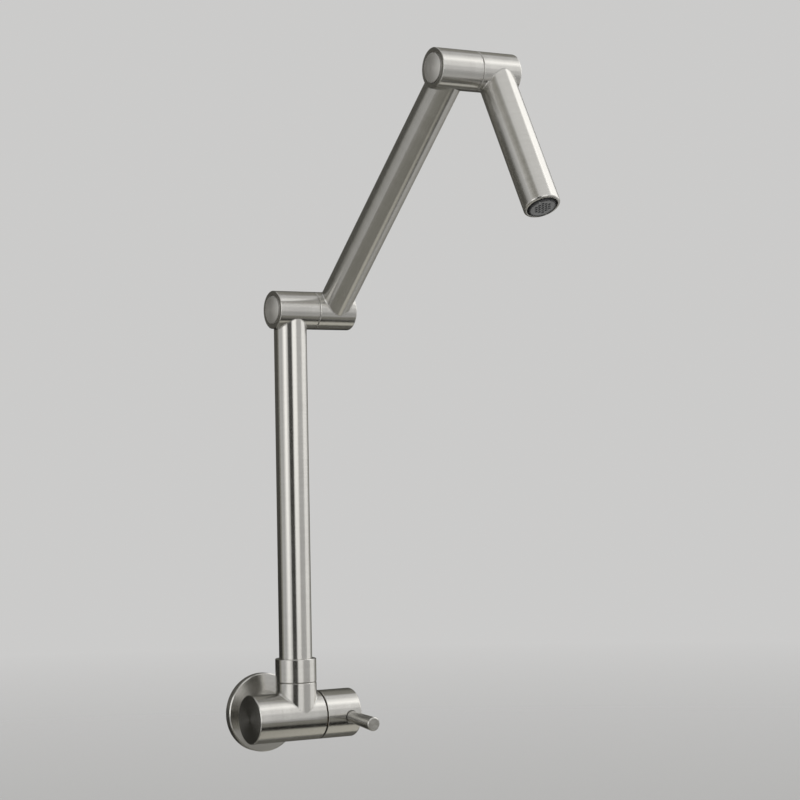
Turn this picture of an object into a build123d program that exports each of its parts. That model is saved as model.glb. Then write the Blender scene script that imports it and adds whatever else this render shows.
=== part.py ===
"""Wall mounted articulated pot filler: a quarter-turn valve on the wall, a swivelling riser,
a water-carrying elbow, an upper arm, a water-carrying wrist and a spout.

Frame: the origin is on the wall, on the inlet's axis. +X is to the right of someone who faces
the wall, +Y goes into the wall and +Z is up. Millimetres and degrees.
"""

from build123d import *
import os
from math import cos, radians, sin, sqrt, tan

# ---------------------------------------------------------------- driving dimensions
# Tubes, and how far apart the axes are
tube_diameter = 24.0
tube_wall = 1.5
spout_diameter = 25.4
spout_wall = 1.9
riser_height = 295.9  # valve axis to elbow axis
arm_length = 227.5  # elbow axis to wrist axis
spout_length = 112.3  # wrist axis to the mouth

# The pose that is modelled, measured from straight up towards the room
arm_lean = 48.0
spout_lean = 150.7
lever_droop = 5.0  # the lever's angle below level

# Fits that many places share
running_clearance = 0.05
shaft_gap = 0.3  # between round faces that pass without a bearing
groove_play = 0.2  # room on each side of an O-ring in its groove
overrun = 1.0  # how far a cutting tool runs past the face that it cuts

# Wall flange and inlet
flange_diameter = 58.0
flange_rim = 6.1  # depth of the rim, from the wall to its front edge
flange_rise = 0.9  # how much the face stands up towards the middle
flange_edge = 0.7
flange_skin = 1.9
flange_hub_width = 3.2
flange_lip = 2.4  # width of the metal ring that bears on the wall
flange_slide = 0.15  # play of the flange on the boss
flange_ring_section = 1.4
gasket_width = 3.0
gasket_thickness = 1.5
boss_diameter = 26.0
boss_setback = 1.0  # the boss stops this far short of the wall
nipple_diameter = 20.955  # G 1/2 thread
nipple_out = 16.0  # thread that stands out behind the wall's face
nipple_in = 12.4  # thread inside the boss
nipple_lead = 1.0
nipple_relief = 1.6
nipple_relief_depth = 1.1
nipple_key = 12.0  # hexagon across flats
nipple_key_depth = 10.0
inlet_washer_thickness = 1.0
inlet_washer_bore = 12.6
inlet_port_diameter = 9.2

# Valve body
wall_to_valve = 44.0
riser_offset = 4.85  # the riser's axis is this far to the right of the inlet's
riser_forward = 2.4  # and this far in front of the valve's
body_diameter = 35.4
body_left = 37.05  # riser axis to the closed end
body_right = 17.55  # riser axis to the handle's end
body_edge = 0.5
body_wall = 5.7
end_wall = 5.5
neck_height = 25.3  # valve axis to the seam under the collar
neck_thread_length = 9.7
neck_port = 11.0
neck_edge = 0.6
port_margin = 0.3  # the cartridge's seat clears the ports on both sides by this much
socket_wall = 3.9
socket_depth = 18.5

# Swivel at the foot of the riser
collar_wall = 1.35
collar_lip = 2.8
collar_seam = 0.25
collar_edge = 0.4
seam_edge = 0.2
slip_ring_thickness = 0.95
slip_ring_width = 3.4
spigot_flange = 2.5
spigot_flange_overlap = 0.95  # how far the flange reaches under the collar's lip
spigot_wall = 1.35  # between the O-ring grooves and the bore
spigot_plug = 13.5
spigot_tip = 0.5
spigot_ring_section = 1.9
spigot_ring_low = 4.0  # foot of the spigot to the first O-ring
spigot_ring_pitch = 6.0

# Quarter-turn cartridge
water_jacket = 2.5  # between the cartridge's shell and the body's bore
shell_wall = 1.1
seal_thickness = 1.5
disc_thickness = 2.5
disc_play = 0.1
disc_rim = 1.3
disc_film = 0.02
disc_port_inner = 5.0
disc_port_half_angle = 38.0
seat_margin = 0.3
window_length = 4.8
window_width = 9.0
window_wall = 0.3
shell_neck = 1.2
shell_ring_section = 1.2
hexagon_thickness = 2.8
stem_diameter = 9.0
driver_thickness = 1.9
lug_width = 3.0
lug_reach = 1.4
lug_height = 1.25
stem_ring_section = 1.5
stem_ring_pitch = 3.2
circlip_thickness = 0.8
circlip_width = 2.5
circlip_depth = 0.5
circlip_opening = 4.5
spline_step = 0.5
spline_length = 17.0
spline_teeth = 20
spline_depth = 0.35

# Handle
handle_gap = 1.0
handle_length = 28.0
handle_edge = 1.5
handle_wall = 3.4
handle_floor_gap = 1.15  # from the circlip to the floor of the handle's mouth
hexagon_gap = 0.45
spline_end_gap = 1.6
lever_place = 37.45  # riser axis to the lever's axis
lever_root_diameter = 8.2
lever_tip_diameter = 10.0
lever_reach = 49.5  # valve axis to the lever's tip
lever_seat = 9.0
lever_edge = 0.6
lever_stud = 6.0
lever_stud_gap = 1.0
lever_rim = 0.6  # width of the recess round the lever's foot
lever_rim_depth = 2.4
grub_diameter = 5.0
grub_length = 6.0
grub_key = 2.5
grub_key_depth = 3.0
grub_place = 28.05

# Knuckle, which makes both the elbow and the wrist
knuckle_step = 1.2  # how much larger than the larger tube its radius is
knuckle_wall = 3.9
knuckle_edge = 1.2
knuckle_seam_edge = 0.4
knuckle_rim_edge = 0.35
knuckle_gap = 0.35
fixed_reach = 18.2  # the fixed tube's axis to the seam
turning_reach = 16.05  # the seam to the turning tube's axis
blind_reach = 14.5  # the turning tube's axis to the blind end
blind_wall = 5.0
knuckle_port = 10.4
cap_ring_width = 3.4
cap_ledge = 1.2
cap_recess = 2.2
cap_groove = 0.4
cap_skirt = 0.9
cap_proud = 0.6
cap_crown = 1.3
cap_hollow = 1.2
web_margin = 0.4
web_thickness = 3.0
bush_length = 8.2
bush_wall = 1.95
journal_step = 2.05
thread_depth = 0.95
spindle_wall = 2.0
spindle_flange = 7.2
spindle_end_gap = 0.25
spindle_slot = 1.6
bore_stop = 1.0
cross_ports = 4
cross_post = 2.4
nut_thickness = 2.4
nut_corner_gap = 0.64
nut_end_gap = 0.35
disc_spring_height = 0.9
disc_spring_sheet = 0.45
disc_spring_gap = 1.1
main_ring_section = 1.8
main_ring_margin = 2.2
small_ring_section = 1.4
friction_washer = 0.3
friction_washer_inset = 0.7

# Aerator in the spout's mouth
mouth_lip = 1.4  # the rounding of the spout's end
mouth_depth = 3.6  # from the mouth to the shoulder of the aerator
mouth_gap = 1.5  # round the front of the aerator
aerator_proud = 1.2  # how far its face stands out of the mouth
aerator_length = 12.6
aerator_rim = 2.2
aerator_notches = 8
aerator_notch_width = 1.6
aerator_notch_depth = 0.9
mesh_setback = 0.4
mesh_thickness = 1.6
mesh_pitch = 2.6
mesh_bar = 0.6
diffuser_thickness = 2.2
diffuser_hole = 1.5
diffuser_hole_circle = 12.0
diffuser_holes = 12
aerator_washer_thickness = 1.4
seat_ring_thickness = 2.0
seat_ring_width = 2.6

# ---------------------------------------------------------------- places worked out from them
valve_axis = Vector(riser_offset, -wall_to_valve, 0)
riser_foot = valve_axis - Vector(0, riser_forward, 0)
elbow = riser_foot + Vector(0, 0, riser_height)
knuckle_offset = fixed_reach + knuckle_gap + turning_reach


def leaning(angle):
    """The direction that leans this far from straight up towards the room."""
    return Vector(0, -sin(radians(angle)), cos(radians(angle)))


UP = leaning(0)
DOWN = leaning(180)
X_AXIS = Vector(1, 0, 0)
along_arm = leaning(arm_lean)
along_spout = leaning(spout_lean)
side_step = X_AXIS * knuckle_offset
wrist = elbow + side_step + along_arm * arm_length


def facing(origin, tube_direction):
    """A frame with its axis along +X and a tube along its local x."""
    return Plane(origin=origin, x_dir=tube_direction, z_dir=X_AXIS)


def pointing(origin, direction):
    """A frame with its local z along this direction."""
    return Plane(origin=origin, x_dir=X_AXIS, z_dir=direction)


WALL = pointing((0, 0, 0), leaning(90))
VALVE = facing(valve_axis, UP)
RISER = pointing(riser_foot, UP)
LEVER = pointing(valve_axis + X_AXIS * lever_place, leaning(90 + lever_droop))
GRUB = pointing(valve_axis + X_AXIS * grub_place, DOWN)
SPOUT = pointing(wrist + side_step, along_spout)


# ---------------------------------------------------------------- shapes that repeat
def placed(frame, shape):
    return frame.location * shape


def rod(radius, low, high):
    base = (Align.CENTER, Align.CENTER, Align.MIN)
    return Pos(0, 0, low) * Cylinder(radius, high - low, align=base)


def ring(outer, inner, low, high):
    return rod(outer, low, high) - rod(inner, low - overrun, high + overrun)


def turned(*points):
    """The solid that a lathe makes from this outline of radius and height pairs."""
    outline = Polyline(*[(radius, 0, height) for radius, height in points], close=True)
    return revolve(make_face(outline), Axis.Z)


def o_ring(inner_radius, section, height):
    return Pos(0, 0, height) * Torus(inner_radius + section / 2, section / 2)


def ring_groove(shaft_radius, depth, section, height):
    """The cut that an O-ring of this section lies in."""
    half = section / 2 + groove_play
    return ring(shaft_radius + overrun, shaft_radius - depth, height - half, height + half)


def hexagon(corner_radius, low, high):
    return Pos(0, 0, low) * extrude(RegularPolygon(corner_radius, 6), high - low)


def corners(across_flats):
    """The radius of the corners of a hexagon that measures this across its flats."""
    return across_flats / 2 / cos(radians(30))


def with_round_end(solid, radius):
    """The solid with the rim of its far end rounded."""
    return fillet(solid.edges().sort_by(Axis.Z)[-1], radius)


def side_hole(radius, length, height):
    """A hole from the axis out along the local x."""
    return Pos(0, 0, height) * Rot(0, 90, 0) * rod(radius, 0, length)


def round_the_axis(tool, count):
    return [Rot(0, 0, 360 * i / count) * tool for i in range(count)]


# ---------------------------------------------------------------- wall flange and inlet
# Local heights run from the wall's face out into the room.
flange_radius = flange_diameter / 2
boss_radius = boss_diameter / 2
nipple_radius = nipple_diameter / 2
flange_hole = boss_radius + flange_slide
flange_hub = flange_hole + flange_hub_width
flange_front = flange_rim + flange_rise
flange_ring_height = (flange_front + gasket_thickness) / 2
gasket_outer = flange_radius - flange_lip
gasket_inner = gasket_outer - gasket_width
nipple_inner_end = nipple_relief + nipple_in
inlet_floor = nipple_inner_end + inlet_washer_thickness


def wall_flange():
    groove_floor = boss_radius + flange_ring_section
    groove_low = flange_ring_height - flange_ring_section / 2 - groove_play
    groove_high = flange_ring_height + flange_ring_section / 2 + groove_play
    dish = turned(
        (gasket_outer, 0),
        (flange_radius, 0),
        (flange_radius, flange_rim - flange_edge),
        (flange_radius - flange_edge, flange_rim),
        (flange_hub, flange_front),
        (flange_hole, flange_front),
        (flange_hole, groove_high),
        (groove_floor, groove_high),
        (groove_floor, groove_low),
        (flange_hole, groove_low),
        (flange_hole, gasket_thickness),
        (flange_hub, gasket_thickness),
        (flange_hub, flange_front - flange_skin),
        (gasket_inner, flange_rim - flange_skin),
        (gasket_inner, gasket_thickness),
        (gasket_outer, gasket_thickness),
    )
    return placed(WALL, dish)


def wall_gasket():
    return placed(WALL, ring(gasket_outer, gasket_inner, 0, gasket_thickness))


def flange_o_ring():
    return placed(WALL, o_ring(boss_radius, flange_ring_section, flange_ring_height))


def inlet_nipple():
    relief_radius = nipple_radius - nipple_relief_depth
    blank = turned(
        (0, -nipple_out),
        (nipple_radius - nipple_lead, -nipple_out),
        (nipple_radius, nipple_lead - nipple_out),
        (nipple_radius, 0),
        (relief_radius, 0),
        (relief_radius, nipple_relief),
        (nipple_radius, nipple_relief),
        (nipple_radius, nipple_inner_end - nipple_lead),
        (nipple_radius - nipple_lead, nipple_inner_end),
        (0, nipple_inner_end),
    )
    waterway = rod(nipple_key / 2, -nipple_out - overrun, nipple_inner_end + overrun)
    key = hexagon(corners(nipple_key), -nipple_out - overrun, nipple_key_depth - nipple_out)
    return placed(WALL, blank - waterway - key)


def inlet_washer():
    washer = ring(nipple_radius, inlet_washer_bore / 2, nipple_inner_end, inlet_floor)
    return placed(WALL, washer)


# ---------------------------------------------------------------- swivel, measured up the riser
tube_radius = tube_diameter / 2
tube_bore = tube_radius - tube_wall
lip_radius = tube_radius + shaft_gap
spigot_flange_radius = lip_radius + spigot_flange_overlap
collar_bore = spigot_flange_radius + shaft_gap
neck_radius = collar_bore + collar_wall
neck_thread_radius = collar_bore - running_clearance
neck_top = neck_height + neck_thread_length
lower_ring_top = neck_top + slip_ring_thickness
flange_foot = lower_ring_top + running_clearance
flange_top = flange_foot + spigot_flange
upper_ring_top = flange_top + slip_ring_thickness
lip_floor = upper_ring_top + running_clearance
collar_top = lip_floor + collar_lip
socket_radius = neck_thread_radius - socket_wall
socket_floor = neck_top - socket_depth
spigot_radius = socket_radius - running_clearance
spigot_foot = socket_floor + spigot_tip
spigot_groove = spigot_radius - spigot_ring_section
spigot_bore = spigot_groove - spigot_wall
first_spigot_ring = spigot_foot + spigot_ring_low
spigot_rings = (first_spigot_ring, first_spigot_ring + spigot_ring_pitch)


def swivel_collar():
    nut = turned(
        (collar_bore, neck_height + collar_seam),
        (neck_radius - seam_edge, neck_height + collar_seam),
        (neck_radius, neck_height + collar_seam + seam_edge),
        (neck_radius, collar_top - collar_edge),
        (neck_radius - collar_edge, collar_top),
        (lip_radius, collar_top),
        (lip_radius, lip_floor),
        (collar_bore, lip_floor),
    )
    return placed(RISER, nut)


def lower_slip_ring():
    inner = spigot_flange_radius - slip_ring_width
    return placed(RISER, ring(spigot_flange_radius, inner, neck_top, lower_ring_top))


def upper_slip_ring():
    inner = tube_radius + running_clearance
    return placed(RISER, ring(spigot_flange_radius, inner, flange_top, upper_ring_top))


def swivel_spigot():
    blank = rod(spigot_radius, spigot_foot, flange_foot)
    blank += rod(spigot_flange_radius, flange_foot, flange_top)
    blank += rod(tube_bore, flange_top, flange_top + spigot_plug)
    for height in spigot_rings:
        blank -= ring_groove(spigot_radius, spigot_ring_section, spigot_ring_section, height)
    return placed(RISER, blank - rod(spigot_bore, 0, riser_height))


def spigot_o_rings():
    rings = [o_ring(spigot_groove, spigot_ring_section, height) for height in spigot_rings]
    return placed(RISER, Compound(rings))


# ---------------------------------------------------------------- cartridge
# Local heights run along the valve's axis from the riser's axis towards the handle.
body_radius = body_diameter / 2
cartridge_radius = body_radius - body_wall
shell_radius = cartridge_radius - water_jacket
cavity_radius = shell_radius - shell_wall
disc_radius = cavity_radius - disc_play
disc_port_radius = disc_radius - disc_rim
inlet_chamber_radius = disc_port_radius + seat_margin
seat_face = -(neck_port / 2 + port_margin)
shell_start = seat_face + seal_thickness
moving_disc_start = shell_start + disc_thickness + disc_film
moving_disc_end = moving_disc_start + disc_thickness
lug_foot = moving_disc_end - lug_height
driver_start = moving_disc_end + running_clearance
shell_floor = driver_start + window_wall + window_length
shell_shoulder = shell_floor + shell_neck
shell_ring_groove = cartridge_radius - shell_ring_section
shell_ring_height = body_right - shell_ring_section
hexagon_end = body_right + hexagon_thickness
handle_hollow = body_radius - handle_wall
hexagon_radius = handle_hollow - hexagon_gap
stem_radius = stem_diameter / 2
stem_hole = stem_radius + running_clearance
stem_groove = stem_hole - stem_ring_section
first_stem_ring = shell_shoulder + stem_ring_section
stem_rings = (first_stem_ring, first_stem_ring + stem_ring_pitch)
circlip_radius = stem_radius - circlip_depth
circlip_start = hexagon_end + running_clearance
circlip_end = circlip_start + circlip_thickness
spline_start = circlip_end + handle_floor_gap
spline_end = spline_start + spline_length
spline_radius = stem_radius - spline_step


def opposite_wedges(low, high):
    """Two wedges that face each other across the axis, along the local y."""
    reach = body_diameter
    spread = reach * tan(radians(disc_port_half_angle))
    wedge = Polyline((0, 0), (spread, reach), (-spread, reach), close=True)
    block = Pos(0, 0, low) * extrude(make_face(wedge), high - low)
    return block + Rot(0, 0, 180) * block


def ceramic_disc(low):
    high = low + disc_thickness
    below, above = low - overrun, high + overrun
    ports = ring(disc_port_radius, disc_port_inner / 2, below, above)
    return rod(disc_radius, low, high) - (ports & opposite_wedges(below, above))


def lugs(outer_radius, clearance, high):
    """The two tongues by which the stem turns the moving disc."""
    depth = outer_radius - disc_radius + lug_reach + clearance
    side = (Align.MAX, Align.CENTER, Align.MIN)
    tongue = Box(depth, lug_width + 2 * clearance, high - lug_foot, align=side)
    tongue = Pos(outer_radius, 0, lug_foot) * tongue
    return tongue + Rot(0, 0, 180) * tongue


def cartridge_seat_seal():
    return placed(VALVE, ring(shell_radius, inlet_chamber_radius, seat_face, shell_start))


def cartridge_fixed_disc():
    return placed(VALVE, ceramic_disc(shell_start))


def cartridge_moving_disc():
    notches = lugs(cartridge_radius, running_clearance, driver_start + overrun)
    return placed(VALVE, ceramic_disc(moving_disc_start) - notches)


def cartridge_shell():
    blank = rod(shell_radius, shell_start, shell_shoulder)
    blank += rod(cartridge_radius, shell_shoulder, body_right)
    blank += hexagon(hexagon_radius, body_right, hexagon_end)
    blank -= ring_groove(
        cartridge_radius, shell_ring_section, shell_ring_section, shell_ring_height
    )
    blank -= rod(cavity_radius, shell_start - overrun, shell_floor)
    blank -= rod(stem_hole, shell_floor - overrun, hexagon_end + overrun)
    window = Box(2 * cartridge_radius, window_width, window_length)
    for turn in (0, 90):
        blank -= Pos(0, 0, shell_floor - window_length / 2) * Rot(0, 0, turn) * window
    return placed(VALVE, blank)


def cartridge_o_ring():
    return placed(VALVE, o_ring(shell_ring_groove, shell_ring_section, shell_ring_height))


def cartridge_stem():
    driver_end = driver_start + driver_thickness
    driver = rod(cavity_radius - running_clearance, driver_start, driver_end)
    driver &= Rot(0, 0, 90) * opposite_wedges(driver_start, driver_end)
    stem = driver + lugs(disc_radius - disc_film, 0, driver_end)
    stem += rod(stem_radius, driver_start, spline_start)
    stem += rod(spline_radius, spline_start, spline_end)
    for height in stem_rings:
        stem -= ring_groove(stem_radius, stem_radius - stem_groove, stem_ring_section, height)
    stem -= ring(stem_diameter, circlip_radius, circlip_start, circlip_end)
    bar = (Align.CENTER, Align.CENTER, Align.MIN)
    groove = Rot(0, 0, 45) * Box(spline_depth, spline_depth, spline_length + overrun, align=bar)
    for cutter in round_the_axis(Pos(spline_radius, 0, spline_start) * groove, spline_teeth):
        stem -= cutter
    return placed(VALVE, stem)


def stem_o_rings():
    rings = [o_ring(stem_groove, stem_ring_section, height) for height in stem_rings]
    return placed(VALVE, Compound(rings))


def stem_circlip():
    outer = stem_radius + circlip_width - circlip_depth
    clip = ring(outer, circlip_radius, circlip_start, circlip_end)
    side = (Align.MIN, Align.CENTER, Align.CENTER)
    opening = Box(outer + overrun, circlip_opening, 3 * circlip_thickness, align=side)
    return placed(VALVE, clip - Pos(0, 0, circlip_end) * opening)


# ---------------------------------------------------------------- valve body
def valve_body():
    barrel = turned(
        (0, -body_left),
        (body_radius - body_edge, -body_left),
        (body_radius, body_edge - body_left),
        (body_radius, body_right - body_edge),
        (body_radius - body_edge, body_right),
        (0, body_right),
    )
    neck = turned(
        (0, 0),
        (neck_radius, 0),
        (neck_radius, neck_height - neck_edge),
        (neck_radius - neck_edge, neck_height),
        (neck_thread_radius, neck_height),
        (neck_thread_radius, neck_top),
        (0, neck_top),
    )
    body = placed(VALVE, barrel) + placed(RISER, neck)
    body += placed(WALL, rod(boss_radius, boss_setback, wall_to_valve))
    body -= placed(VALVE, rod(inlet_chamber_radius, end_wall - body_left, seat_face + overrun))
    body -= placed(VALVE, rod(cartridge_radius, seat_face, body_right + overrun))
    body -= placed(RISER, rod(neck_port / 2, 0, socket_floor + overrun))
    body -= placed(RISER, rod(socket_radius, socket_floor, neck_top + overrun))
    body -= placed(WALL, rod(nipple_radius, boss_setback - overrun, inlet_floor))
    port_radius = inlet_port_diameter / 2
    port_place = riser_offset + seat_face - port_margin - port_radius
    port = Pos(port_place, 0, 0) * rod(port_radius, inlet_floor - overrun, wall_to_valve)
    return body - placed(WALL, port)


# ---------------------------------------------------------------- handle
lever_root = lever_root_diameter / 2
lever_tip = lever_tip_diameter / 2
lever_foot = body_radius - lever_rim_depth
handle_start = body_right + handle_gap
handle_end = handle_start + handle_length
handle_bore = spline_radius + running_clearance


def handle_hub():
    blank = turned(
        (0, handle_start),
        (body_radius - seam_edge, handle_start),
        (body_radius, handle_start + seam_edge),
        (body_radius, handle_end),
        (0, handle_end),
    )
    blank = with_round_end(blank, handle_edge)
    blank -= rod(handle_hollow, handle_start - overrun, spline_start)
    blank -= rod(handle_bore, spline_start - overrun, spline_end + spline_end_gap)
    lever_hole = rod(lever_stud / 2, 0, lever_seat)
    lever_hole += rod(lever_root, lever_seat, lever_reach)
    lever_hole += rod(lever_root + lever_rim, lever_foot, lever_reach)
    grub_hole = rod(grub_diameter / 2, 0, body_diameter)
    return placed(VALVE, blank) - placed(LEVER, lever_hole) - placed(GRUB, grub_hole)


def lever_rod():
    stud_tip = spline_radius + lever_stud_gap
    lever = turned(
        (0, stud_tip),
        (lever_stud / 2, stud_tip),
        (lever_stud / 2, lever_seat),
        (lever_root, lever_seat),
        (lever_root, lever_foot),
        (lever_tip, lever_reach - lever_edge),
        (lever_tip - lever_edge, lever_reach),
        (0, lever_reach),
    )
    return placed(LEVER, lever)


def handle_grub_screw():
    outer_end = handle_bore + grub_length
    screw = rod(grub_diameter / 2, handle_bore, outer_end)
    screw -= hexagon(corners(grub_key), outer_end - grub_key_depth, outer_end + overrun)
    return placed(GRUB, screw)


# ---------------------------------------------------------------- tubes
spout_radius = spout_diameter / 2
spout_bore = spout_radius - spout_wall
knuckle_radius = max(tube_radius, spout_radius) + knuckle_step


def knuckle_outside(centre):
    """The full round of a knuckle, which shapes the coped ends of the tubes."""
    across = 2 * knuckle_offset
    return placed(facing(centre, UP), rod(knuckle_radius, -across, across))


def riser_tube():
    tube = placed(RISER, ring(tube_radius, tube_bore, flange_top, riser_height))
    return tube - knuckle_outside(elbow)


def upper_tube():
    frame = pointing(elbow + side_step, along_arm)
    tube = placed(frame, ring(tube_radius, tube_bore, 0, arm_length))
    return tube - knuckle_outside(elbow) - knuckle_outside(wrist)


def spout_tube():
    tube = with_round_end(rod(spout_radius, 0, spout_length), mouth_lip)
    tube -= rod(spout_bore, -overrun, spout_length + overrun)
    return placed(SPOUT, tube) - knuckle_outside(wrist)


# ---------------------------------------------------------------- knuckle
# Local heights run along the joint's axis from the fixed tube's axis. Water comes in through
# the fixed half's port, enters the spindle by its cross ports, runs through the middle of the
# bearing and leaves by the turning half's port.
port_radius = knuckle_port / 2
bore_radius = knuckle_radius - knuckle_wall
bush_bore = bore_radius - bush_wall
cap_radius = knuckle_radius - cap_ring_width
nut_chamber = cap_radius - cap_ledge
web_right = -(port_radius + web_margin)
web_left = web_right - web_thickness
spring_right = web_left - running_clearance
nut_right = spring_right - disc_spring_height
nut_left = nut_right - nut_thickness
recess_floor = nut_left - nut_end_gap
fixed_end = recess_floor - cap_recess
bush_start = fixed_reach - bush_length
turning_start = fixed_reach + knuckle_gap
turning_end = knuckle_offset + blind_reach
main_journal = bush_bore - running_clearance
small_bore = main_journal - journal_step + running_clearance
small_journal = small_bore - running_clearance
thread_radius = small_journal - thread_depth
main_groove = main_journal - main_ring_section
small_groove = small_journal - small_ring_section
spindle_bore = main_groove - spindle_wall
main_rings = (bush_start + main_ring_margin, fixed_reach - main_ring_margin)
small_ring = (web_left + web_right) / 2


def fixed_knuckle(centre, tube_direction):
    """The half that carries the bush, the web with the small bearing, and the end cap."""
    blank = turned(
        (cap_radius, fixed_end),
        (knuckle_radius - knuckle_rim_edge, fixed_end),
        (knuckle_radius, fixed_end + knuckle_rim_edge),
        (knuckle_radius, fixed_reach - knuckle_seam_edge),
        (knuckle_radius - knuckle_seam_edge, fixed_reach),
        (bore_radius, fixed_reach),
        (bore_radius, web_right),
        (small_bore, web_right),
        (small_bore, web_left),
        (nut_chamber, web_left),
        (nut_chamber, recess_floor),
        (cap_radius, recess_floor),
    )
    port = Pos(small_bore, 0, 0) * side_hole(port_radius, knuckle_radius, 0)
    return placed(facing(centre, tube_direction), blank - port)


def turning_knuckle(centre, tube_direction):
    """The blind half that the spindle screws into."""
    blank = turned(
        (bore_radius, turning_start),
        (knuckle_radius - knuckle_seam_edge, turning_start),
        (knuckle_radius, turning_start + knuckle_seam_edge),
        (knuckle_radius, turning_end),
        (0, turning_end),
        (0, turning_end - blind_wall),
        (bore_radius, turning_end - blind_wall),
    )
    blank = with_round_end(blank, knuckle_edge)
    port = side_hole(port_radius, knuckle_radius + overrun, knuckle_offset)
    return placed(facing(centre, tube_direction), blank - port)


def knuckle_cap(centre):
    """The domed plug over the nut, a little smaller than its recess, so that a groove shows."""
    face_radius = cap_radius - cap_groove
    rim = fixed_end - cap_proud
    plug = rod(cap_radius, recess_floor - cap_skirt, recess_floor)
    plug += rod(face_radius, rim - cap_crown, recess_floor)
    dome_radius = (face_radius**2 + cap_crown**2) / (2 * cap_crown)
    plug &= Pos(0, 0, rim - cap_crown + dome_radius) * Sphere(dome_radius)
    hollow = Pos(0, 0, recess_floor - cap_hollow) * rod(nut_chamber, 0, cap_hollow + overrun)
    return placed(facing(centre, UP), plug - hollow)


def knuckle_bush(centre):
    return placed(facing(centre, UP), ring(bore_radius, bush_bore, bush_start, fixed_reach))


def knuckle_washer(centre):
    outer = knuckle_radius - friction_washer_inset
    washer = ring(outer, bush_bore, fixed_reach, fixed_reach + friction_washer)
    return placed(facing(centre, UP), washer)


def knuckle_spindle(centre):
    """The hollow shaft, held by its flange on one side and by its nut on the other."""
    tail = recess_floor + spindle_end_gap
    head = turning_start + spindle_flange
    shaft = turned(
        (0, tail),
        (thread_radius, tail),
        (thread_radius, web_left),
        (small_journal, web_left),
        (small_journal, bush_start),
        (main_journal, bush_start),
        (main_journal, turning_start),
        (bore_radius, turning_start),
        (bore_radius, head),
        (0, head),
    )
    shaft -= rod(spindle_bore, web_right + bore_stop, head + overrun)
    cross_port = (small_journal - cross_post) / sqrt(2)
    for hole in round_the_axis(side_hole(cross_port, knuckle_radius, 0), cross_ports):
        shaft -= hole
    for height in main_rings:
        shaft -= ring_groove(main_journal, main_ring_section, main_ring_section, height)
    shaft -= ring_groove(small_journal, small_ring_section, small_ring_section, small_ring)
    slot = Box(2 * knuckle_radius, spindle_slot, 2 * spindle_slot)
    return placed(facing(centre, UP), shaft - Pos(0, 0, tail) * slot)


def knuckle_o_rings(centre):
    rings = [o_ring(main_groove, main_ring_section, height) for height in main_rings]
    rings.append(o_ring(small_groove, small_ring_section, small_ring))
    return placed(facing(centre, UP), Compound(rings))


def knuckle_disc_spring(centre):
    """A coned washer that keeps the joint stiff enough to stay where it is put."""
    inner = thread_radius + running_clearance
    outer = nut_chamber - disc_spring_gap
    cone = turned(
        (inner, nut_right),
        (outer, spring_right - disc_spring_sheet),
        (outer, spring_right),
        (inner, nut_right + disc_spring_sheet),
    )
    return placed(facing(centre, UP), cone)


def knuckle_nut(centre):
    nut = hexagon(nut_chamber - nut_corner_gap, nut_left, nut_right)
    return placed(facing(centre, UP), nut - rod(thread_radius, nut_left - overrun, spring_right))


def knuckle(name, centre, fixed_direction, turning_direction):
    return {
        f"{name}_fixed_knuckle": fixed_knuckle(centre, fixed_direction),
        f"{name}_turning_knuckle": turning_knuckle(centre, turning_direction),
        f"{name}_end_cap": knuckle_cap(centre),
        f"{name}_bearing_bush": knuckle_bush(centre),
        f"{name}_friction_washer": knuckle_washer(centre),
        f"{name}_spindle": knuckle_spindle(centre),
        f"{name}_o_rings": knuckle_o_rings(centre),
        f"{name}_disc_spring": knuckle_disc_spring(centre),
        f"{name}_nut": knuckle_nut(centre),
    }


# ---------------------------------------------------------------- aerator
# Local heights run along the spout from the wrist's axis to the mouth.
aerator_face = spout_length + aerator_proud
aerator_shoulder = spout_length - mouth_depth
aerator_back = aerator_face - aerator_length
aerator_opening = spout_bore - aerator_rim
aerator_front = spout_bore - mouth_gap
mesh_face = aerator_face - mesh_setback
mesh_back = mesh_face - mesh_thickness
washer_start = aerator_back - aerator_washer_thickness
seat_ring_start = washer_start - seat_ring_thickness
seat_ring_bore = spout_bore - seat_ring_width


def aerator_shell():
    """The threaded shell, with notches that a key turns it by."""
    shell = ring(spout_bore, aerator_opening, aerator_back, aerator_shoulder)
    shell += ring(aerator_front, aerator_opening, aerator_shoulder, aerator_face)
    notch = Box(aerator_opening, aerator_notch_width, 2 * aerator_notch_depth)
    for cutter in round_the_axis(Pos(aerator_front, 0, aerator_face) * notch, aerator_notches):
        shell -= cutter
    return placed(SPOUT, shell)


def mesh_cells():
    """Centres of the whole cells that fit in the opening, in staggered rows."""
    row_height = mesh_pitch * cos(radians(30))
    rows = int(aerator_opening / row_height)
    columns = int(aerator_opening / mesh_pitch) + 1
    usable = aerator_opening - mesh_bar - corners(mesh_pitch - mesh_bar)
    for row in range(-rows, rows + 1):
        for column in range(-columns, columns + 1):
            x = (column + row % 2 / 2) * mesh_pitch
            y = row * row_height
            if sqrt(x * x + y * y) < usable:
                yield x, y


def aerator_mesh():
    """The honeycomb that the water leaves through."""
    cell = RegularPolygon((mesh_pitch - mesh_bar) / 2, 6, major_radius=False, rotation=30)
    holes = extrude(Sketch() + [Pos(x, y) * cell for x, y in mesh_cells()], 3 * mesh_thickness)
    disc = rod(aerator_opening, mesh_back, mesh_face)
    return placed(SPOUT, disc - Pos(0, 0, mesh_back - mesh_thickness) * holes)


def aerator_diffuser():
    back = aerator_back - overrun
    front = aerator_back + diffuser_thickness
    disc = rod(aerator_opening, aerator_back, front)
    hole = Pos(diffuser_hole_circle / 2, 0, 0) * rod(diffuser_hole / 2, back, front + overrun)
    for cutter in round_the_axis(hole, diffuser_holes):
        disc -= cutter
    return placed(SPOUT, disc)


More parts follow.
